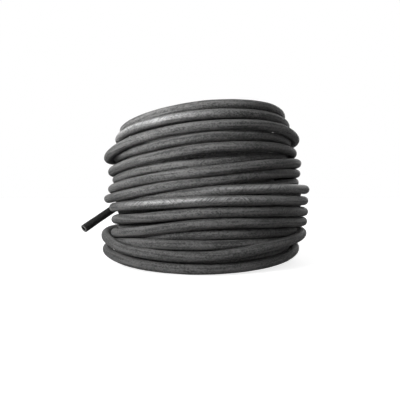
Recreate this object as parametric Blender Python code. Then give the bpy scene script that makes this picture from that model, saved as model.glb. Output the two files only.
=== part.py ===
"""A soaker hose in a free-standing coil. Metres, +Z up, with the front of the coil towards -Y.

The hose winds the same way all along, anticlockwise seen from above: the inner layer comes down, the
middle layer climbs, and the outer layer comes down and then climbs again, half way up, to the free end.
Only the outer layer is wound turn by turn, as one unbroken tube. Azimuths are degrees round the coil,
from 0 at the front through 90 at the right.
"""

import math

import bmesh
import bpy
import numpy as np
from mathutils import Vector

# Driving dimensions
HOSE_DIAMETER = 0.016
BORE_DIAMETER = 0.0095
COIL_DIAMETER = 0.400  # over the widest turns
LAY_GAP = 0.0006  # air between neighbouring turns
SEAT_GAP = 0.0003  # air between parts that touch
RAMP_GAP = 0.0008  # air under a hose that runs out level over a rising layer
INNER_END_LENGTH = 0.080
INNER_END_OVERHANG = 0.003  # into the eye

# A row is one turn beside or above the next.
ROW = HOSE_DIAMETER + LAY_GAP
WIDEST_RADIUS = (COIL_DIAMETER - HOSE_DIAMETER) / 2

# Places round the coil, in degrees
LEFT, FRONT, RIGHT, BACK = -75, 0, 75, 180
IN_SIGHT = (LEFT, -38, FRONT, 38, RIGHT)
START = -165  # the outer layer comes out of the middle layer
OVER_THE_RIM = -112  # it has crossed the middle layer
END = 225  # the free end leaves the outer layer
INNER_END = 85  # where the inner layer begins

# How the outer turns lie: rows up at the five places in sight, then rows inside the widest radius at the
# left, the front and the right. They come down from the top, at first in sight.
FALLING_TURNS = (
    ((14.2, 14.8, 15.6, 16.0, 15.9), (1.9, 2.1, 2.7)),
    ((13.2, 13.9, 14.6, 14.9, 14.7), (1.4, 1.5, 2.2)),
    ((11.1, 12.4, 13.4, 13.7, 13.1), (0.2, 0.9, 1.2)),
    ((11.1, 11.5, 12.4, 12.8, 12.8), (1.2, 1.1, 1.9)),
    ((9.5, 10.3, 11.3, 11.7, 11.6), (0.6, 1.0, 1.4)),
    ((8.6, 9.4, 10.0, 10.7, 11.2), (1.1, 1.7, 2.4)),
    ((7.5, 8.2, 9.0, 9.9, 10.4), (0.6, 0.8, 0.9)),
    ((6.3, 7.0, 8.1, 9.0, 9.2), (0.2, 1.1, 1.0)),
)
# They go on down behind the turns that climb again. The last of them lies on the ground.
FIRST_HIDDEN_ROWS = (6.1, 6.7, 7.2, 7.8, 8.4)
HIDDEN_DEPTHS = (
    (2.6, 2.0, 1.2),
    (1.6, 2.0, 0.9),
    (2.2, 2.0, 0.9),
    (1.6, 2.0, 1.1),
    (2.6, 2.0, 2.2),
    (2.2, 2.0, 2.9),
    (2.1, 2.0, 2.0),
)
CLIMBING_TURNS = (
    ((0.9, 0.3, 0.1, 0.4, 1.0), (0.1, 0.3, 1.4)),
    ((0.6, 0.7, 0.7, 0.8, 0.8), (1.3, 1.1, 2.2)),
    ((2.4, 1.5, 1.3, 2.1, 2.6), (0.0, 0.0, 0.4)),
    ((1.6, 2.3, 2.3, 2.2, 1.9), (0.8, 0.8, 1.5)),
    ((2.3, 2.9, 3.2, 3.1, 2.6), (2.0, 1.0, 1.4)),
    ((2.5, 3.2, 4.2, 4.2, 3.9), (0.9, 0.6, 0.3)),
    ((4.1, 4.6, 5.3, 5.3, 5.0), (1.0, 0.5, 0.2)),
    ((5.5, 6.0, 6.4, 6.4, 6.2), (0.8, 0.3, 0.2)),
    ((6.2, 6.7, 7.4, 7.6, 7.5), (1.4, 0.7, 0.0)),
)
START_ROW = 15.3
OVER_THE_RIM_LAY = (14.9, 2.8)
# The last turn runs on to the free end, whose course the last two places stand for.
LAST_LAY = ((BACK, 8.2, 0.1), (END, 7.1, 0.1), (END + 15, 6.3, -0.3), (END + 30, 4.5, -1.6))
BACK_RISE = 0.6  # rows that the turns rise between the right and the next left
FULL_RISE_ROW = 4  # and less below this row
MIDDLE_DEPTH = 3.9  # rows from the widest radius in to the middle layer
TILT_ROWS = 0.7  # rows that the covered layers' top lies higher at the right than half way
INNER_LAYER_DROP = 0.3  # rows from the middle layer's top down to the inner layer's

END_FALL = 0.15  # metres down in a metre along, where the free end leaves
# The free end's own course from there: metres straight on, then outwards, then up.
FREE_END_COURSE = (
    (0.016, 0.0, 0.0),
    (0.040, 0.0005, -0.0032),
    (0.067, 0.0008, -0.0102),
    (0.095, 0.0009, -0.0208),
    (0.131, 0.0, -0.0349),
    (0.166, -0.0010, -0.0489),
)

# How finely the forms are cut
POINTS_PER_TURN = 24
RING_SEGMENTS = 48
SHARP_EDGE = 40  # degrees
END_SIDES = 12
END_STEP = 2.2 * HOSE_DIAMETER
INNER_END_SHARES = (0.45, 0.7, 1.0)

# How the turns settle against each other
SETTLING_STEPS = 400
LAST_STEPS = 60  # pushing only
PULL_HOME = 0.03  # share of the way back that each step takes
EVEN_OUT = 0.15  # share of a bend that each step takes out


def lay_height(row):
    return HOSE_DIAMETER / 2 + SEAT_GAP + row * ROW


def lay_radius(depth):
    return WIDEST_RADIUS - depth * ROW


def tilt(azimuth):
    """How much higher the rim is at an azimuth than half way between its low left and its high right."""
    return TILT_ROWS * ROW * math.sin(math.radians(azimuth))


MIDDLE_RADIUS = lay_radius(MIDDLE_DEPTH)
INNER_RADIUS = MIDDLE_RADIUS - HOSE_DIAMETER - SEAT_GAP
MIDDLE_TOP = lay_height(START_ROW) - HOSE_DIAMETER / 2 - RAMP_GAP - tilt(START)
INNER_TOP = MIDDLE_TOP - INNER_LAYER_DROP * ROW


def around(azimuth, radius, height):
    angle = math.radians(azimuth)
    return Vector((radius * math.sin(angle), -radius * math.cos(angle), height))


def onward(azimuth):
    """The way the hose runs at an azimuth."""
    angle = math.radians(azimuth)
    return Vector((math.cos(angle), math.sin(angle), 0))


def smooth(places, values, wanted):
    """A smooth curve through the values at these places, read at the wanted ones."""
    slopes = np.diff(values) / np.diff(places)
    gaps = np.diff(places)
    tangents = np.empty_like(values)
    tangents[1:-1] = (slopes[:-1] * gaps[1:] + slopes[1:] * gaps[:-1]) / (gaps[:-1] + gaps[1:])
    tangents[0], tangents[-1] = slopes[0], slopes[-1]
    index = np.clip(np.searchsorted(places, wanted) - 1, 0, len(gaps) - 1)
    t = (wanted - places[index]) / gaps[index]
    start, end = values[index], values[index + 1]
    leave, arrive = tangents[index] * gaps[index], tangents[index + 1] * gaps[index]
    bend = 3 * (end - start) - 2 * leave - arrive
    return start + t * (leave + t * (bend + t * (leave + arrive - 2 * (end - start))))


def outer_lay():
    """Azimuth, row and depth at each place that the outer layer's route is chosen by."""
    turns = list(FALLING_TURNS)
    for number, depths in enumerate(HIDDEN_DEPTHS):
        share = 1 - number / (len(HIDDEN_DEPTHS) - 1)
        turns.append((tuple(share * row for row in FIRST_HIDDEN_ROWS), depths))
    turns += CLIMBING_TURNS
    lay = [(START, START_ROW, MIDDLE_DEPTH), (OVER_THE_RIM, *OVER_THE_RIM_LAY)]
    for number, (rows, (left, front, right)) in enumerate(turns):
        depths = (left, (left + front) / 2, front, (front + right) / 2, right)
        lay += [(360 * number + azimuth, row, depth) for azimuth, row, depth in zip(IN_SIGHT, rows, depths)]
        if number < len(turns) - 1:
            next_rows, next_depths = turns[number + 1]
            row = (rows[-1] + next_rows[0]) / 2
            row += BACK_RISE * min(row / FULL_RISE_ROW, 1)
            lay.append((360 * number + BACK, row, (right + next_depths[0]) / 2))
    last_turn = 360 * (len(turns) - 1)
    lay += [(last_turn + azimuth, row, depth) for azimuth, row, depth in LAST_LAY]
    return np.array(lay, float)


def settle(radii, heights):
    """Push neighbouring turns apart to a row, keeping them even along the hose and near their places."""
    home = np.stack((radii, heights), axis=1)
    spots = home.copy()
    most_turns = len(spots) // POINTS_PER_TURN
    rim = round((LEFT - START) * POINTS_PER_TURN / 360)
    fixed = -1 - round((LAST_LAY[-1][0] - END) * POINTS_PER_TURN / 360)
    closest_radius = (MIDDLE_RADIUS + ROW) / math.cos(math.pi / POINTS_PER_TURN)
    for step in range(SETTLING_STEPS):
        if step < SETTLING_STEPS - LAST_STEPS:
            moved = spots - home
            moved[1:-1] += EVEN_OUT * (moved[:-2] + moved[2:] - 2 * moved[1:-1])
            spots = home + (1 - PULL_HOME) * moved
        for turns in range(1, most_turns + 1):
            shift = turns * POINTS_PER_TURN
            apart = spots[shift:] - spots[:-shift]
            distances = np.linalg.norm(apart, axis=1)
            push = np.clip(ROW - distances, 0, None) / 2 / distances
            moves = apart * push[:, None]
            spots[shift:] += moves
            spots[:-shift] -= moves
        spots[rim:, 0] = np.maximum(spots[rim:, 0], closest_radius)
        spots[:, 1] = np.maximum(spots[:, 1], lay_height(0))
        spots[fixed:] = home[fixed:]
    return spots[:, 0], spots[:, 1]


def outer_route():
    """The outer layer's centre line, with a straight run of one diameter at both ends."""
    places, rows, depths = outer_lay().T
    azimuths = np.arange(places[0], places[-1] + 1, 360 / POINTS_PER_TURN)
    heights = lay_height(smooth(places, rows, azimuths))
    radii = lay_radius(smooth(places, depths, azimuths))
    radii, heights = settle(radii, heights)
    points = [around(*spot) for spot in zip(azimuths, radii, heights)]
    points = points[: -round((LAST_LAY[-1][0] - END) * POINTS_PER_TURN / 360)]
    start = around(START, MIDDLE_RADIUS, heights[0]) + SEAT_GAP * onward(START)
    straight = [start, start + HOSE_DIAMETER * onward(START)]
    return straight + points[1:-1] + [points[-1] - HOSE_DIAMETER * leaving(), points[-1]]


def least_gap(points):
    """The least air between two turns, measured on the points of the centre line."""
    spots = np.array(points)
    nearest = math.inf
    for index in range(len(spots) - POINTS_PER_TURN // 2):
        later = spots[index + POINTS_PER_TURN // 2:]
        nearest = min(nearest, np.linalg.norm(later - spots[index], axis=1).min())
    return nearest - HOSE_DIAMETER


def rubber(name, colour, roughness):
    material = bpy.data.materials.new(name)
    material.use_nodes = True
    shader = material.node_tree.nodes["Principled BSDF"]
    shader.inputs["Base Color"].default_value = (*colour, 1)
    shader.inputs["Roughness"].default_value = roughness
    shader.inputs["Metallic"].default_value = 0
    return material


def add_object(name, data, parent, material):
    item = bpy.data.objects.new(name, data)
    bpy.context.scene.collection.objects.link(item)
    item.parent = parent
    item.data.materials.append(material)
    return item


def wound_tube(name, points, parent, material):
    """A solid round tube along a centre line."""
    curve = bpy.data.curves.new(name, "CURVE")
    curve.dimensions = "3D"
    curve.bevel_depth = HOSE_DIAMETER / 2
    curve.bevel_resolution = 1
    curve.use_fill_caps = True
    spline = curve.splines.new("POLY")
    spline.points.add(len(points) - 1)
    for spot, point in zip(spline.points, points):
        spot.co = (*point, 1)
    return add_object(name, curve, parent, material)


def mesh_object(name, shape, parent, material):
    bmesh.ops.recalc_face_normals(shape, faces=shape.faces)
    mesh = bpy.data.meshes.new(name)
    shape.to_mesh(mesh)
    shape.free()
    mesh.shade_smooth()
    mesh.set_sharp_from_angle(angle=math.radians(SHARP_EDGE))
    return add_object(name, mesh, parent, material)


def plain_layer(name, middle_radius, low_top, step_azimuth, climbs, parent, material):
    """A ring one hose thick, whose tilted top rises by a row round the coil and ends in an upright step."""
    shape = bmesh.new()
    inner, outer = middle_radius - HOSE_DIAMETER / 2, middle_radius + HOSE_DIAMETER / 2
    direction = 1 if climbs else -1
    columns = []
    for index in range(RING_SEGMENTS + 1):
        azimuth = step_azimuth + direction * 360 * index / RING_SEGMENTS
        top = low_top + ROW * index / RING_SEGMENTS + tilt(azimuth)
        upper = [shape.verts.new(around(azimuth, radius, top)) for radius in (inner, outer)]
        if index < RING_SEGMENTS:
            lower = [shape.verts.new(around(azimuth, radius, 0)) for radius in (inner, outer)]
        else:
            lower = columns[0][0]
        columns.append((lower, upper))
    for (low, high), (next_low, next_high) in zip(columns, columns[1:]):
        closing = next_low is columns[0][0]
        for side in (0, 1):
            wall = [low[side], next_low[side], next_high[side], high[side]]
            if closing:
                wall.insert(2, columns[0][1][side])
            shape.faces.new(wall)
        shape.faces.new((low[0], low[1], next_low[1], next_low[0]))
        shape.faces.new((high[0], high[1], next_high[1], next_high[0]))
    first, last = columns[0][1], columns[-1][1]
    shape.faces.new((first[0], first[1], last[1], last[0]))
    return mesh_object(name, shape, parent, material)


def bored_tube(name, points, parent, material):
    """A short hose with its bore, open at both cut faces."""
    shape = bmesh.new()
    across = None
    rings = []
    for index, point in enumerate(points):
        before, after = points[max(index - 1, 0)], points[min(index + 1, len(points) - 1)]
        ahead = (after - before).normalized()
        across = ahead.orthogonal() if across is None else across - across.dot(ahead) * ahead
        across.normalize()
        beside = ahead.cross(across)
        walls = []
        for radius in (HOSE_DIAMETER / 2, BORE_DIAMETER / 2):
            walls.append([])
            for side in range(END_SIDES):
                turn = 2 * math.pi * side / END_SIDES
                offset = radius * (math.cos(turn) * across + math.sin(turn) * beside)
                walls[-1].append(shape.verts.new(point + offset))
        rings.append(walls)
    for side in range(END_SIDES):
        following = (side + 1) % END_SIDES
        for ring, ahead in zip(rings, rings[1:]):
            for wall, next_wall in zip(ring, ahead):
                shape.faces.new((wall[side], wall[following], next_wall[following], next_wall[side]))
        for outside, bore in (rings[0], rings[-1]):
            shape.faces.new((outside[side], outside[following], bore[following], bore[side]))
    return mesh_object(name, shape, parent, material)


def evenly_along(points, step):
    """A smooth curve through the points, read about every step."""
    spots = np.array(points, float)
    lengths = np.concatenate(((0,), np.cumsum(np.linalg.norm(np.diff(spots, axis=0), axis=1))))
    wanted = np.linspace(0, lengths[-1], round(lengths[-1] / step) + 1)
    columns = [smooth(lengths, spots[:, axis], wanted) for axis in range(3)]
    return [Vector(spot) for spot in zip(*columns)]


def leaving():
    """The way that the hose runs where the free end leaves."""
    return (onward(END) - Vector((0, 0, END_FALL))).normalized()


def free_end_route(leaves):
    """The free end's centre line, from where the outer layer ends."""
    along = leaving()
    outward = around(END, 1, 0)
    origin = leaves + SEAT_GAP * along
    course = [origin + a * along + b * outward + Vector((0, 0, c)) for a, b, c in FREE_END_COURSE]
    return [origin] + evenly_along(course, END_STEP)


def inner_end_route():
    """The inner end lies back along the inner layer's top, from the step where that layer begins."""
    height = INNER_TOP + HOSE_DIAMETER / 2 + RAMP_GAP
    radius = INNER_RADIUS - INNER_END_OVERHANG
    start = around(INNER_END, radius, height + tilt(INNER_END)) - SEAT_GAP * onward(INNER_END)
    sweep = math.degrees(INNER_END_LENGTH / radius)
    course = [start - HOSE_DIAMETER * onward(INNER_END)]
    for share in INNER_END_SHARES:
        azimuth = INNER_END - share * sweep
        lift = ROW * share * sweep / 360 + tilt(azimuth)
        course.append(around(azimuth, radius, height + lift))
    return [start] + evenly_along(course, END_STEP / 2)


def clear_scene():
    for item in list(bpy.data.objects):
        bpy.data.objects.remove(item)


def stand_in_the_middle(axis, items):
    """Move the whole coil so that its box is centred on the origin, free end included."""
    bpy.context.view_layer.update()
    graph = bpy.context.evaluated_depsgraph_get()
    corners = []
    for item in items:
        mesh = item.evaluated_get(graph).to_mesh()
        corners += [tuple(vertex.co) for vertex in mesh.vertices]
    corners = np.array(corners)
    middle = (corners.min(axis=0) + corners.max(axis=0)) / 2
    axis.location = (-middle[0], -middle[1], 0)


def main():
    clear_scene()
    axis = bpy.data.objects.new("coil_axis", None)
    bpy.context.scene.collection.objects.link(axis)
    black = rubber("porous_rubber", (0.045, 0.045, 0.047), 0.75)
    shaded = rubber("shaded_rubber", (0.035, 0.035, 0.037), 0.8)
    route = outer_route()
    items = [
        wound_tube("outer_layer", route, axis, black),
        plain_layer("middle_layer", MIDDLE_RADIUS, MIDDLE_TOP, START, True, axis, shaded),
        plain_layer("inner_layer", INNER_RADIUS, INNER_TOP, INNER_END, False, axis, shaded),
        bored_tube("free_end", free_end_route(route[-1]), axis, black),
        bored_tube("inner_end", inner_end_route(), axis, black),
    ]
    stand_in_the_middle(axis, items)
    print(f"least gap of the outer layer to itself: {1000 * least_gap(route):.2f} mm")


main()
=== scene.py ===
"""The looks of a soaker hose in a free-standing coil: one hose, wound from its inner end to its free end.

Metres, +Z up, with the front of the coil towards -Y. Azimuths are degrees round the coil, from 0 at the
front through 90 at the right, and they go on counting as the hose winds, anticlockwise seen from above.
The turns lie in rows, one hose high. The inner layer comes down, the middle layer climbs, and the outer
layer comes down and then climbs again, half way up, to the free end.
"""

import math

import bpy
import numpy as np
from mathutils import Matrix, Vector


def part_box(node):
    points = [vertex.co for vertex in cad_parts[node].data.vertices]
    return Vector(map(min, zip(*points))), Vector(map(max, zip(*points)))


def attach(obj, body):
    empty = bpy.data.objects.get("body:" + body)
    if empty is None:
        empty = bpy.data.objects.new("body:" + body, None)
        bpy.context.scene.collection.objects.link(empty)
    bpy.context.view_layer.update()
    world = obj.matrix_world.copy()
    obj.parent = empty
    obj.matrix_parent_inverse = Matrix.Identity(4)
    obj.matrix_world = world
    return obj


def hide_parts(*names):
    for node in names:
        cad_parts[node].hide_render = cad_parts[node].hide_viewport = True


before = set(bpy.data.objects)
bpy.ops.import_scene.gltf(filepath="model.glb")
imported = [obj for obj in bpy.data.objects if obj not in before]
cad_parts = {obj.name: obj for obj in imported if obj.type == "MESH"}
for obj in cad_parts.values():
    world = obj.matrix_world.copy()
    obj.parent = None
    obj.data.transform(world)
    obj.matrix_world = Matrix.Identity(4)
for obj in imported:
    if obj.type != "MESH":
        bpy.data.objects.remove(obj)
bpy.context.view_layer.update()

# The hose and the coil, as in the CAD model
HOSE_DIAMETER = 0.016
BORE_DIAMETER = 0.0095
COIL_DIAMETER = 0.400
LAY_GAP = 0.0006
SEAT_GAP = 0.0003
INNER_END_LENGTH = 0.080
ROW = HOSE_DIAMETER + LAY_GAP
WIDEST_RADIUS = (COIL_DIAMETER - HOSE_DIAMETER) / 2

# Places round the coil, in degrees
LEFT, FRONT, RIGHT, BACK = -75, 0, 75, 180
IN_SIGHT = (LEFT, -38, FRONT, 38, RIGHT)
START = -165  # the outer layer comes out of the middle layer
OVER_THE_RIM = -112
END = 225  # the free end leaves the outer layer
INNER_END = 85  # where the inner layer begins
INNER_TURNS = 31  # the inner layer begins this many turns before the outer one

# How the outer turns lie: rows up at the five places in sight, then rows inside the widest radius at the
# left, the front and the right. They come down from the top, at first in sight.
FALLING_TURNS = (
    ((14.2, 14.8, 15.6, 16.0, 15.9), (1.9, 2.1, 2.7)),
    ((13.2, 13.9, 14.6, 14.9, 14.7), (1.4, 1.5, 2.2)),
    ((11.1, 12.4, 13.4, 13.7, 13.1), (0.2, 0.9, 1.2)),
    ((11.1, 11.5, 12.4, 12.8, 12.8), (1.2, 1.1, 1.9)),
    ((9.5, 10.3, 11.3, 11.7, 11.6), (0.6, 1.0, 1.4)),
    ((8.6, 9.4, 10.0, 10.7, 11.2), (1.1, 1.7, 2.4)),
    ((7.5, 8.2, 9.0, 9.9, 10.4), (0.6, 0.8, 0.9)),
    ((6.3, 7.0, 8.1, 9.0, 9.2), (0.2, 1.1, 1.0)),
)
# They go on down behind the turns that climb again. The last of them lies on the ground.
FIRST_HIDDEN_ROWS = (6.1, 6.7, 7.2, 7.8, 8.4)
HIDDEN_DEPTHS = (
    (2.6, 2.0, 1.2),
    (1.6, 2.0, 0.9),
    (2.2, 2.0, 0.9),
    (1.6, 2.0, 1.1),
    (2.6, 2.0, 2.2),
    (2.2, 2.0, 2.9),
    (2.1, 2.0, 2.0),
)
CLIMBING_TURNS = (
    ((0.9, 0.3, 0.1, 0.4, 1.0), (0.1, 0.3, 1.4)),
    ((0.6, 0.7, 0.7, 0.8, 0.8), (1.3, 1.1, 2.2)),
    ((2.4, 1.5, 1.3, 2.1, 2.6), (0.0, 0.0, 0.4)),
    ((1.6, 2.3, 2.3, 2.2, 1.9), (0.8, 0.8, 1.5)),
    ((2.3, 2.9, 3.2, 3.1, 2.6), (2.0, 1.0, 1.4)),
    ((2.5, 3.2, 4.2, 4.2, 3.9), (0.9, 0.6, 0.3)),
    ((4.1, 4.6, 5.3, 5.3, 5.0), (1.0, 0.5, 0.2)),
    ((5.5, 6.0, 6.4, 6.4, 6.2), (0.8, 0.3, 0.2)),
    ((6.2, 6.7, 7.4, 7.6, 7.5), (1.4, 0.7, 0.0)),
)
START_ROW = 15.3
OVER_THE_RIM_LAY = (14.9, 2.8)
# The last turn runs on to the free end, whose course the last two places stand for.
LAST_LAY = ((BACK, 8.2, 0.1), (END, 7.1, 0.1), (END + 15, 6.3, -0.3), (END + 30, 4.5, -1.6))
BACK_RISE = 0.6  # rows that the turns rise between the right and the next left
FULL_RISE_ROW = 4  # and less below this row
MIDDLE_DEPTH = 3.9
TILT_ROWS = 0.7
INNER_LAYER_DROP = 0.3
CROSSING = 60  # degrees in which the hose steps from the inner layer to the middle one, on the floor

END_FALL = 0.15  # metres down in a metre along, where the free end leaves
# The free end's own course from there: metres straight on, then outwards, then up.
FREE_END_COURSE = (
    (0.016, 0.0, 0.0),
    (0.040, 0.0005, -0.0032),
    (0.067, 0.0008, -0.0102),
    (0.095, 0.0009, -0.0208),
    (0.131, 0.0, -0.0349),
    (0.166, -0.0010, -0.0489),
)

# How the turns settle
STATIONS = 24  # in a turn
SETTLING_STEPS = 400
LAST_STEPS = 60  # pushing only
PULL_HOME = 0.03
EVEN_OUT = 0.15
WANDER_OUT = 0.0022  # how far the covered turns stray from a regular lay
WANDER_PERIOD = 7  # stations
STEADY_STATIONS = 5  # at the inner end, before they begin to stray
BULGE = 0.004  # how far they may stray into the eye

# The hose's surface
SIDES = 20
OUTER_RINGS = 96  # in a turn
COVERED_RINGS = 60
FREE_END_STEP = 0.005
SKIN_RADIUS = 0.0083  # neighbours press on each other, so their rims meet
OVAL = 0.025  # how far out of round, as a share of its radius
LEAN = 0.7  # radians that the oval rocks to either side
LUMP = 0.00012
# Metres in which its twist, its oval, the oval's lean and its lumps come round again
TWIST_PERIOD, OVAL_PERIOD, LEAN_PERIOD, LUMP_PERIOD = 2.3, 0.31, 0.9, 0.11
CUT_EDGE = 0.0006
BORE_DEPTH = 0.110
SHARP_EDGE = 55  # degrees
SKIN, CUT, BORE = range(3)  # finishes
# How many times a metre each pattern comes round, along the hose and across it
PATCHES, STREAKS, SMEARS, GRAINS, PORES = (9, 40), (12, 280), (60, 330), (300, 420), (520, 780)
CRUMBS, PITS = (900, 900), (500, 600)
SLANT = 110  # radians round the hose in a metre that the slanting smears take
# Greys, as shares of white; the fourth is the grey of a painted highlight
DARK_RUBBER, PALE_RUBBER, BLOOM, PAINTED_HIGHLIGHT_GREY, BLACK = 0.030, 0.115, 0.16, 0.24, 0.005
WARMTH = 0.01  # how much the greys lean to red
COAT_ROUGHNESS = 0.16
RELIEF, FINE_RELIEF = 0.0021, 0.0006  # metres deep, on the skin and in the cuts
# Stretches that shine more, those with a painted highlight along their crest, and the one that is near black:
# azimuths where each begins and ends
SHINY_STRETCHES = ((360 - 70, 360 + 5), (360 * 22 - 50, 360 * 22 + 45), (360 * 23 + 5, 360 * 23 + 50))
PAINTED_HIGHLIGHT_STRETCHES = ((360 - 66, 360 - 20), (360 * 22 - 42, 360 * 22 + 28), (360 * 23 + 3, 360 * 23 + 46))
PAINTED_HIGHLIGHT_SIDE = 20  # degrees up from the outermost side, where the painted highlight is centred
PAINTED_HIGHLIGHT_WIDTH = 25  # degrees to either side, where the painted highlight ends
# The last stretch, at the free end, is near black.
BLACK_STRETCHES = ((360 * 23 + 160, 360 * 24),)
STRETCH_FADES = 25  # degrees

# The photograph's camera, by what it shows of the coil: it stands four widest radii from the axis.
CAMERA_DISTANCE = 0.800
CAMERA_HEIGHT = 0.128
FRAME_SIZE = 400
FOCAL_LENGTH = 36.0  # as long as the sensor is wide
AXIS_PIXEL = (206, 192)  # straight ahead

# The floor and the light
FLOOR_SIZE = 12
FLOOR_GREY = 0.5
NEAR, FAR = 0.35, 1.3  # metres from the middle, between which the floor brightens to white
NEAR_GLOW = 0.80
AMBIENT = 0.08
# Lights: where each stands and points, its width and height, its watts and the degrees that it spreads over
LIGHTS = {
    "key_light": ((-0.72, -0.80, 0.56), (0.00, 0, 0.24), (0.4, 0.4), 5.3, 180),
    "side_light": ((-0.50, -0.50, 0.42), (-0.10, -0.10, 0.33), (0.3, 0.3), 1.85, 70),
    "long_light": ((-0.04, -1.05, 1.00), (0.03, 0, 0.15), (1.3, 0.08), 2.4, 180),
    "front_light": ((0.35, -1.15, 0.10), (0.05, 0, 0.14), (0.8, 0.15), 1.2, 180),
    "back_light": ((0.5, 1.2, 0.5), (0.03, 0, 0.12), (0.9, 0.6), 7, 180),
}

low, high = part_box("middle_layer")
AXIS = Vector(((low.x + high.x) / 2, (low.y + high.y) / 2, 0))


def lay_height(row):
    return HOSE_DIAMETER / 2 + SEAT_GAP + row * ROW


def lay_radius(depth):
    return WIDEST_RADIUS - depth * ROW


def tilt_rows(azimuth):
    return TILT_ROWS * np.sin(np.radians(azimuth))


MIDDLE_RADIUS = lay_radius(MIDDLE_DEPTH)
INNER_RADIUS = MIDDLE_RADIUS - HOSE_DIAMETER - SEAT_GAP
MIDDLE_TOP_ROW = START_ROW - tilt_rows(START)
INNER_TOP_ROW = MIDDLE_TOP_ROW - INNER_LAYER_DROP


def smooth(places, values, wanted):
    """A smooth curve through the values at these places, read at the wanted ones."""
    slopes = np.diff(values) / np.diff(places)
    gaps = np.diff(places)
    tangents = np.empty_like(values)
    tangents[1:-1] = (slopes[:-1] * gaps[1:] + slopes[1:] * gaps[:-1]) / (gaps[:-1] + gaps[1:])
    tangents[0], tangents[-1] = slopes[0], slopes[-1]
    index = np.clip(np.searchsorted(places, wanted) - 1, 0, len(gaps) - 1)
    t = (wanted - places[index]) / gaps[index]
    start, end = values[index], values[index + 1]
    leave, arrive = tangents[index] * gaps[index], tangents[index + 1] * gaps[index]
    bend = 3 * (end - start) - 2 * leave - arrive
    return start + t * (leave + t * (bend + t * (leave + arrive - 2 * (end - start))))


def settle(home, pinned, closest):
    """Push neighbouring turns apart to a row, keeping them even along the hose and near their places.

    Each spot is a radius and a height, a station further along the hose than the one before.
    """
    spots = home.copy()
    for step in range(SETTLING_STEPS):
        if step < SETTLING_STEPS - LAST_STEPS:
            moved = spots - home
            moved[1:-1] += EVEN_OUT * (moved[:-2] + moved[2:] - 2 * moved[1:-1])
            spots = home + (1 - PULL_HOME) * moved
        for shift in range(STATIONS, len(spots), STATIONS):
            apart = spots[shift:] - spots[:-shift]
            distances = np.linalg.norm(apart, axis=1)
            push = np.clip(ROW - distances, 0, None) / 2 / distances
            moves = apart * push[:, None]
            spots[shift:] += moves
            spots[:-shift] -= moves
        spots[:, 0] = np.maximum(spots[:, 0], closest)
        spots[:, 1] = np.maximum(spots[:, 1], lay_height(0))
        spots[pinned] = home[pinned]
    return spots


def outer_lay():
    """Azimuth, row and depth at each place that the outer layer's route is chosen by."""
    turns = list(FALLING_TURNS)
    for number, depths in enumerate(HIDDEN_DEPTHS):
        share = 1 - number / (len(HIDDEN_DEPTHS) - 1)
        turns.append((tuple(share * row for row in FIRST_HIDDEN_ROWS), depths))
    turns += CLIMBING_TURNS
    lay = [(START, START_ROW, MIDDLE_DEPTH), (OVER_THE_RIM, *OVER_THE_RIM_LAY)]
    for number, (rows, (left, front, right)) in enumerate(turns):
        depths = (left, (left + front) / 2, front, (front + right) / 2, right)
        lay += [(360 * number + azimuth, row, depth) for azimuth, row, depth in zip(IN_SIGHT, rows, depths)]
        if number < len(turns) - 1:
            next_rows, next_depths = turns[number + 1]
            row = (rows[-1] + next_rows[0]) / 2
            row += BACK_RISE * min(row / FULL_RISE_ROW, 1)
            lay.append((360 * number + BACK, row, (right + next_depths[0]) / 2))
    last_turn = 360 * (len(turns) - 1)
    lay += [(last_turn + azimuth, row, depth) for azimuth, row, depth in LAST_LAY]
    return np.array(lay, float)


def outer_route():
    """Azimuths and spots of the outer layer, settled as the CAD model's."""
    places, rows, depths = outer_lay().T
    azimuths = np.arange(places[0], places[-1] + 1, 360 / STATIONS)
    radii = lay_radius(smooth(places, depths, azimuths))
    heights = lay_height(smooth(places, rows, azimuths))
    home = np.stack((radii, heights), 1)
    past_end = round((LAST_LAY[-1][0] - END) * STATIONS / 360)
    pinned = np.arange(len(home)) >= len(home) - 1 - past_end
    closest = np.full(len(home), (MIDDLE_RADIUS + ROW) / math.cos(math.pi / STATIONS))
    closest[: round((LEFT - START) * STATIONS / 360)] = 0
    spots = settle(home, pinned, closest)
    return azimuths[:-past_end], spots[:-past_end]


def wander(count, seed):
    """A slow random curve between -1 and 1, read at so many stations."""
    knots = np.arange(0, count + 2 * WANDER_PERIOD, WANDER_PERIOD, float)
    values = np.random.default_rng(seed).uniform(-1, 1, len(knots))
    return smooth(knots, values, np.arange(count, dtype=float))


def covered_route(outer_azimuths, outer_spots):
    """Azimuths and spots of the inner and the middle layer, settled inside the outer one."""
    begins = INNER_END - 360 * INNER_TURNS
    sweep = math.degrees(INNER_END_LENGTH / INNER_RADIUS)
    step = 360 / STATIONS
    count = math.ceil((START - begins + sweep) / step)
    azimuths = START - step * np.arange(count, 0, -1)
    lands = begins + 360 * INNER_TOP_ROW
    places = (begins - 360, lands, lands + CROSSING, START)
    rows = np.interp(azimuths, places, (INNER_TOP_ROW + 1, 0, 0, MIDDLE_TOP_ROW))
    across = np.clip((azimuths - lands) / CROSSING, 0, 1)
    radii = INNER_RADIUS + (MIDDLE_RADIUS - INNER_RADIUS) * across**2 * (3 - 2 * across)
    passed = np.arange(count)
    free = np.clip(np.minimum(passed - STEADY_STATIONS, count - passed) / STATIONS, 0, 1)
    radii += WANDER_OUT * free * wander(count, seed=3)
    heights = lay_height(rows + tilt_rows(azimuths) * rows / MIDDLE_TOP_ROW)
    home = np.concatenate((np.stack((radii, heights), 1), outer_spots))
    pinned = np.arange(len(home)) >= count
    closest = np.where(pinned, 0, INNER_RADIUS - BULGE)
    spots = settle(home, pinned, closest)
    return azimuths, spots[:count]


def around(azimuths, radii, heights):
    """World points at these azimuths, radii and heights."""
    angles = np.radians(azimuths)
    x, y = AXIS.x + radii * np.sin(angles), AXIS.y - radii * np.cos(angles)
    return np.stack((x, y, heights), 1)


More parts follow.
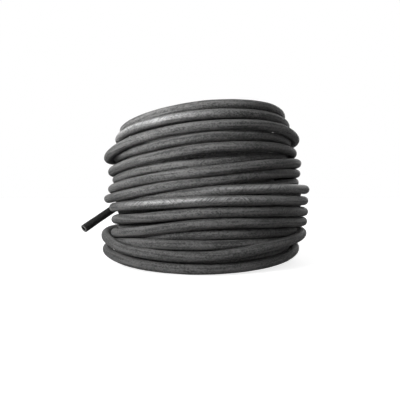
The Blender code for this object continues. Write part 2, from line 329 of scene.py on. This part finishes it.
def evenly_along(points, step):
    """A smooth curve through the points, read about every step."""
    lengths = np.concatenate(((0,), np.cumsum(np.linalg.norm(np.diff(points, axis=0), axis=1))))
    wanted = np.linspace(0, lengths[-1], round(lengths[-1] / step) + 1)
    return np.stack([smooth(lengths, points[:, axis], wanted) for axis in range(3)], 1)


def free_end_route(leaves):
    angle = math.radians(END)
    along = np.array((math.cos(angle), math.sin(angle), -END_FALL)) / math.hypot(1, END_FALL)
    outward = np.array((math.sin(angle), -math.cos(angle), 0))
    course = [leaves + a * along + b * outward + (0, 0, c) for a, b, c in FREE_END_COURSE]
    return evenly_along(np.array(course), FREE_END_STEP)


def hose_route():
    """The hose's centre line, from the inner end's cut face to the free end's, and its azimuths."""
    outer_azimuths, outer_spots = outer_route()
    covered_azimuths, covered_spots = covered_route(outer_azimuths, outer_spots)
    stations = np.concatenate((covered_azimuths, outer_azimuths))
    spots = np.concatenate((covered_spots, outer_spots))
    straight = math.degrees(HOSE_DIAMETER / outer_spots[-1, 0])
    wanted = np.concatenate((
        np.arange(stations[0], START, 360 / COVERED_RINGS),
        np.arange(START, outer_azimuths[-1] - straight, 360 / OUTER_RINGS),
    ))
    radii, heights = (smooth(stations, spots[:, side], wanted) for side in (0, 1))
    wound = around(wanted, radii, heights)
    leaves = around(*(np.array([value]) for value in (stations[-1], *spots[-1])))[0]
    route = np.concatenate((wound, leaves[None], free_end_route(leaves)))
    return route, np.concatenate((wanted, np.full(len(route) - len(wanted), stations[-1])))


def slow_waves(lengths, period, seed):
    """A smooth random curve along the hose, about -1 to 1, that changes over this many metres."""
    random = np.random.default_rng(seed)
    total = np.zeros_like(lengths)
    for share in (1.0, 1.6, 2.7):
        total += np.sin(2 * math.pi * (lengths * share / period + random.uniform())) / 2
    return total


class Skin:
    """Rings of points round the hose, joined into faces as they are added."""

    def __init__(self):
        self.points, self.straight, self.looks, self.faces, self.finishes = [], [], [], [], []
        self.last = None

    def ring(self, points, straight, looks, finish):
        start = len(self.points)
        self.points += list(points)
        self.straight += list(straight)
        self.looks += list(looks)
        ring = range(start, start + SIDES)
        if self.last is not None:
            for side in range(SIDES):
                following = (side + 1) % SIDES
                self.faces.append((self.last[side], self.last[following], ring[following], ring[side]))
                self.finishes.append(finish)
        self.last = ring

    def close(self, first):
        """Close the ring that was added first or last with one flat face."""
        self.faces.append(tuple(range(SIDES))[::-1] if first else tuple(self.last))
        self.finishes.append(BORE)


def share_along(azimuths, stretches):
    """1 inside these stretches of the hose, fading to 0 outside them."""
    share = np.zeros_like(azimuths)
    for begin, end in stretches:
        inside = np.minimum(azimuths - begin, end - azimuths) / STRETCH_FADES + 0.5
        share = np.maximum(share, np.clip(inside, 0, 1))
    return share


def hose_mesh(route, azimuths):
    """One closed skin: from deep in one bore, round the cut face, along the hose and into the other bore."""
    lengths = np.concatenate(((0,), np.cumsum(np.linalg.norm(np.diff(route, axis=0), axis=1))))
    ahead = np.gradient(route, axis=0)
    ahead /= np.linalg.norm(ahead, axis=1)[:, None]
    outward = np.cross(ahead, (0, 0, 1))
    outward /= np.linalg.norm(outward, axis=1)[:, None]
    upward = np.cross(outward, ahead)
    angles = 2 * math.pi * np.arange(SIDES) / SIDES
    roll = slow_waves(lengths, TWIST_PERIOD, seed=11)
    oval = OVAL * (0.6 + 0.4 * slow_waves(lengths, OVAL_PERIOD, seed=12))
    lean = LEAN * slow_waves(lengths, LEAN_PERIOD, seed=13)
    size = LUMP * slow_waves(lengths, LUMP_PERIOD, seed=14)
    # Shine is a glossier coat; the second share is a painted highlight, a paler band along the crest.
    shiny, painted_highlight, black = (
        share_along(azimuths, stretches) for stretches in (SHINY_STRETCHES, PAINTED_HIGHLIGHT_STRETCHES, BLACK_STRETCHES)
    )
    # The band round the hose where the highlight is painted
    highlight_band = np.clip(1 - np.abs(np.degrees(angles) - PAINTED_HIGHLIGHT_SIDE) / PAINTED_HIGHLIGHT_WIDTH, 0, 1)
    skin = Skin()

    def add_ring(index, radius, back, finish):
        """A ring of about this radius, moved back along the hose."""
        shape = radius + (oval[index] * np.cos(2 * (angles - lean[index])) * SKIN_RADIUS + size[index])
        spots = route[index] - back * ahead[index]
        spots = spots + (shape * np.cos(angles))[:, None] * outward[index]
        spots = spots + (shape * np.sin(angles))[:, None] * upward[index]
        turned = angles + roll[index]
        across = radius * np.stack((np.cos(turned), np.sin(turned)), 1)
        straight = np.column_stack((np.full(SIDES, lengths[index] - back), across))
        looks = np.stack(np.broadcast_arrays(shiny[index], painted_highlight[index] * highlight_band, black[index]), 1)
        skin.ring(spots, straight, looks, finish)

    bore = BORE_DIAMETER / 2
    last = len(route) - 1
    end_rings = ((SKIN_RADIUS, CUT_EDGE), (SKIN_RADIUS - CUT_EDGE, 0), (bore + CUT_EDGE, 0), (bore, CUT_EDGE))
    deep = [index for index in range(len(route)) if lengths[index] < BORE_DEPTH][1:]
    for index in deep[::-1]:
        add_ring(index, bore, 0, BORE)
    for (radius, back), finish in zip(end_rings[::-1], (BORE, CUT, CUT, CUT)):
        add_ring(0, radius, -back, finish)
    for index in range(1, last):
        add_ring(index, SKIN_RADIUS, 0, SKIN)
    for (radius, back), finish in zip(end_rings, (SKIN, CUT, CUT, CUT)):
        add_ring(last, radius, back, finish)
    deep = [index for index in range(len(route)) if lengths[-1] - lengths[index] < BORE_DEPTH][:-1]
    for index in deep[::-1]:
        add_ring(index, bore, 0, BORE)
    skin.close(True)
    skin.close(False)
    mesh = bpy.data.meshes.new("hose")
    mesh.from_pydata([tuple(point) for point in skin.points], [], skin.faces)
    mesh.shade_smooth()
    mesh.set_sharp_from_angle(angle=math.radians(SHARP_EDGE))
    mesh.polygons.foreach_set("material_index", skin.finishes)
    attribute = mesh.attributes.new("along_hose", "FLOAT_VECTOR", "POINT")
    attribute.data.foreach_set("vector", np.array(skin.straight, np.float32).ravel())
    for name, values in zip(("shine", "painted_highlight", "black"), np.array(skin.looks, np.float32).T):
        attribute = mesh.attributes.new(name, "FLOAT", "POINT")
        attribute.data.foreach_set("value", values)
    return mesh, lengths[-1]


def add(tree, kind, inputs=(), **settings):
    """A node with these settings, its inputs set, or linked where a socket is given."""
    node = tree.nodes.new("ShaderNode" + kind)
    for name, value in settings.items():
        setattr(node, name, value)
    for name, value in dict(inputs).items():
        if isinstance(value, bpy.types.NodeSocket):
            tree.links.new(value, node.inputs[name])
        else:
            node.inputs[name].default_value = value
    return node


def math_node(tree, operation, *values):
    return add(tree, "Math", dict(enumerate(values)), operation=operation).outputs[0]


def spread(tree, value, low, high, to_low=0.0, to_high=1.0):
    """The value taken from one range to another, and kept inside it."""
    inputs = {"Value": value, "From Min": low, "From Max": high, "To Min": to_low, "To Max": to_high}
    return add(tree, "MapRange", inputs).outputs[0]


def scaled(tree, place, scales):
    """The place counted in a pattern's own steps, along the hose and across it."""
    along, across = scales
    return add(tree, "Mapping", {"Vector": place, "Scale": (along, across, across)}).outputs[0]


def pattern(tree, place, scales, detail=2.0, roughness=0.5):
    """Noise that comes round this many times a metre along the hose, and across it."""
    inputs = {"Vector": scaled(tree, place, scales), "Scale": 1.0, "Detail": detail, "Roughness": roughness}
    return add(tree, "TexNoise", inputs).outputs[0]


def mixed(tree, share, first, second):
    """Colours, or a pattern's values, mixed."""
    node = add(tree, "Mix", data_type="RGBA")
    for name, value in ((0, share), (6, first), (7, second)):
        if isinstance(value, bpy.types.NodeSocket):
            tree.links.new(value, node.inputs[name])
        else:
            node.inputs[name].default_value = value
    return node.outputs[2]


def grey(level, warmth=0.0):
    return (level * (1 + warmth), level, level * (1 - warmth), 1)


def new_material(name):
    material = bpy.data.materials.new(name)
    material.use_nodes = True
    return material, material.node_tree, material.node_tree.nodes["Principled BSDF"]


def rubber_skin():
    """Crumb rubber: grains and pores, smeared out along the hose and slantwise round it by the extruder."""
    material, tree, shader = new_material("crumb_rubber_skin")
    place = add(tree, "Attribute", attribute_name="along_hose").outputs["Vector"]
    shine = add(tree, "Attribute", attribute_name="shine").outputs["Fac"]
    # The share of painted highlight
    painted_highlight = add(tree, "Attribute", attribute_name="painted_highlight").outputs["Fac"]
    black = add(tree, "Attribute", attribute_name="black").outputs["Fac"]
    along = add(tree, "SeparateXYZ", {"Vector": place}).outputs[0]
    smears = []
    for twist in (-SLANT, SLANT):
        inputs = {"Vector": place, "Angle": math_node(tree, "MULTIPLY", along, twist)}
        slanting = add(tree, "VectorRotate", inputs, rotation_type="X_AXIS").outputs[0]
        smears.append(pattern(tree, slanting, SMEARS))
    patches = pattern(tree, place, PATCHES)
    slants = mixed(tree, spread(tree, patches, 0.42, 0.58), *smears)
    streaks = pattern(tree, place, STREAKS, 4.0, 0.62)
    grains = pattern(tree, place, GRAINS, 4.0, 0.65)
    pore_place = scaled(tree, place, PORES)
    pores = add(tree, "TexVoronoi", {"Vector": pore_place, "Scale": 1.0}).outputs["Distance"]

    relief = math_node(tree, "MULTIPLY_ADD", slants, 0.35, streaks)
    relief = math_node(tree, "MULTIPLY_ADD", grains, 0.9, relief)
    tone = mixed(tree, spread(tree, relief, 0.98, 1.26), grey(DARK_RUBBER), grey(PALE_RUBBER, WARMTH))
    bloom = math_node(tree, "MULTIPLY", spread(tree, patches, 0.5, 0.75), spread(tree, grains, 0.4, 0.6))
    tone = mixed(tree, math_node(tree, "MULTIPLY", bloom, 0.5), tone, grey(BLOOM, WARMTH))
    # A painted highlight: paler grey, hatched by the smears, along the crest of the chosen stretches
    painted_highlight = math_node(tree, "MULTIPLY", painted_highlight, spread(tree, slants, 0.42, 0.58, 0.15, 1.0))
    tone = mixed(tree, painted_highlight, tone, grey(PAINTED_HIGHLIGHT_GREY))
    tone = mixed(tree, black, tone, grey(BLACK))
    tree.links.new(tone, shader.inputs["Base Color"])
    tree.links.new(spread(tree, grains, 0.35, 0.65, 0.52, 0.70), shader.inputs["Roughness"])
    tree.links.new(math_node(tree, "MULTIPLY", shine, 0.8), shader.inputs["Coat Weight"])
    shader.inputs["Coat Roughness"].default_value = COAT_ROUGHNESS
    shader.inputs["Specular IOR Level"].default_value = 0.25
    relief = math_node(tree, "MULTIPLY_ADD", spread(tree, pores, 0.0, 0.35), 0.4, relief)
    depth = math_node(tree, "MULTIPLY_ADD", shine, -0.55, 1.0)
    bump = add(tree, "Bump", {"Height": relief, "Strength": depth, "Distance": RELIEF})
    tree.links.new(bump.outputs[0], shader.inputs["Normal"])
    tree.links.new(bump.outputs[0], shader.inputs["Coat Normal"])
    return material


def cut_rubber():
    """The cut face: paler crumbs, rough from the blade."""
    material, tree, shader = new_material("cut_crumb_rubber")
    place = add(tree, "Attribute", attribute_name="along_hose").outputs["Vector"]
    crumbs = pattern(tree, place, CRUMBS, 4.0, 0.7)
    tone = mixed(tree, spread(tree, crumbs, 0.35, 0.65), grey(0.06), grey(0.20))
    tree.links.new(tone, shader.inputs["Base Color"])
    shader.inputs["Roughness"].default_value = 0.8
    shader.inputs["Specular IOR Level"].default_value = 0.35
    bump = add(tree, "Bump", {"Height": crumbs, "Strength": 0.8, "Distance": FINE_RELIEF})
    tree.links.new(bump.outputs[0], shader.inputs["Normal"])
    return material


def bore_rubber():
    """The bore's wall: dark and dull, with pits."""
    material, tree, shader = new_material("bore_crumb_rubber")
    place = add(tree, "Attribute", attribute_name="along_hose").outputs["Vector"]
    pits = pattern(tree, place, PITS, 4.0, 0.65)
    tone = mixed(tree, spread(tree, pits, 0.35, 0.65), grey(0.006), grey(0.016))
    tree.links.new(tone, shader.inputs["Base Color"])
    shader.inputs["Roughness"].default_value = 0.85
    shader.inputs["Specular IOR Level"].default_value = 0.1
    bump = add(tree, "Bump", {"Height": pits, "Strength": 0.8, "Distance": FINE_RELIEF})
    tree.links.new(bump.outputs[0], shader.inputs["Normal"])
    return material


def make_hose():
    route, azimuths = hose_route()
    mesh, length = hose_mesh(route, azimuths)
    for material in (rubber_skin(), cut_rubber(), bore_rubber()):  # by finish
        mesh.materials.append(material)
    hose = bpy.data.objects.new("hose", mesh)
    bpy.context.scene.collection.objects.link(hose)
    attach(hose, "root")
    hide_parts("outer_layer", "middle_layer", "inner_layer", "free_end", "inner_end")
    print(f"hose: {length:.2f} m, {len(mesh.polygons)} faces")


def make_floor():
    """A pale floor that the camera sees as white, but for the coil's shadow."""
    bpy.ops.mesh.primitive_plane_add(size=FLOOR_SIZE, location=(0, 0, 0))
    floor = bpy.context.active_object
    floor.name = "floor"
    material, tree, shader = new_material("pale_floor")
    shader.inputs["Base Color"].default_value = grey(FLOOR_GREY)
    shader.inputs["Roughness"].default_value = 0.9
    place = add(tree, "NewGeometry").outputs["Position"]
    away = add(tree, "VectorMath", {0: place}, operation="LENGTH").outputs["Value"]
    glow = spread(tree, away, NEAR, FAR, NEAR_GLOW, 1.0)
    strength = math_node(tree, "MULTIPLY", add(tree, "LightPath").outputs["Is Camera Ray"], glow)
    glow = add(tree, "Emission", {"Strength": strength})
    both = add(tree, "AddShader", {0: shader.outputs[0], 1: glow.outputs[0]})
    tree.links.new(both.outputs[0], tree.nodes["Material Output"].inputs["Surface"])
    floor.data.materials.append(material)


def make_world():
    """White to the camera and in gloss, and dimmer as light."""
    world = bpy.data.worlds.new("studio")
    bpy.context.scene.world = world
    world.use_nodes = True
    tree = world.node_tree
    rays = add(tree, "LightPath")
    seen = math_node(tree, "MAXIMUM", rays.outputs["Is Camera Ray"], rays.outputs["Is Glossy Ray"])
    seen = math_node(tree, "MAXIMUM", seen, rays.outputs["Is Transmission Ray"])
    background = tree.nodes["Background"]
    background.inputs["Color"].default_value = grey(1.0)
    tree.links.new(spread(tree, seen, 0, 1, AMBIENT, 1.0), background.inputs["Strength"])


def area_light(name, place, aim, size, power, cone):
    data = bpy.data.lights.new(name, "AREA")
    data.shape = "RECTANGLE"
    data.size, data.size_y = size
    data.energy = power
    data.spread = math.radians(cone)
    light = bpy.data.objects.new(name, data)
    light.location = place
    light.rotation_mode = "QUATERNION"
    light.rotation_quaternion = (Vector(aim) - Vector(place)).to_track_quat("-Z", "Y")
    bpy.context.scene.collection.objects.link(light)


def make_camera():
    data = bpy.data.cameras.new("camera")
    data.lens = FOCAL_LENGTH
    data.sensor_width = FOCAL_LENGTH
    data.shift_x = (FRAME_SIZE / 2 - AXIS_PIXEL[0]) / FRAME_SIZE
    data.shift_y = (AXIS_PIXEL[1] - FRAME_SIZE / 2) / FRAME_SIZE
    camera = bpy.data.objects.new("camera", data)
    camera.location = (AXIS.x, AXIS.y - CAMERA_DISTANCE, CAMERA_HEIGHT)
    camera.rotation_euler = (math.radians(90), 0, 0)
    bpy.context.scene.collection.objects.link(camera)
    bpy.context.scene.camera = camera


make_camera()
make_world()
make_floor()
for name, light in LIGHTS.items():
    area_light(name, *light)
make_hose()
bpy.context.scene.view_settings.view_transform = "Standard"
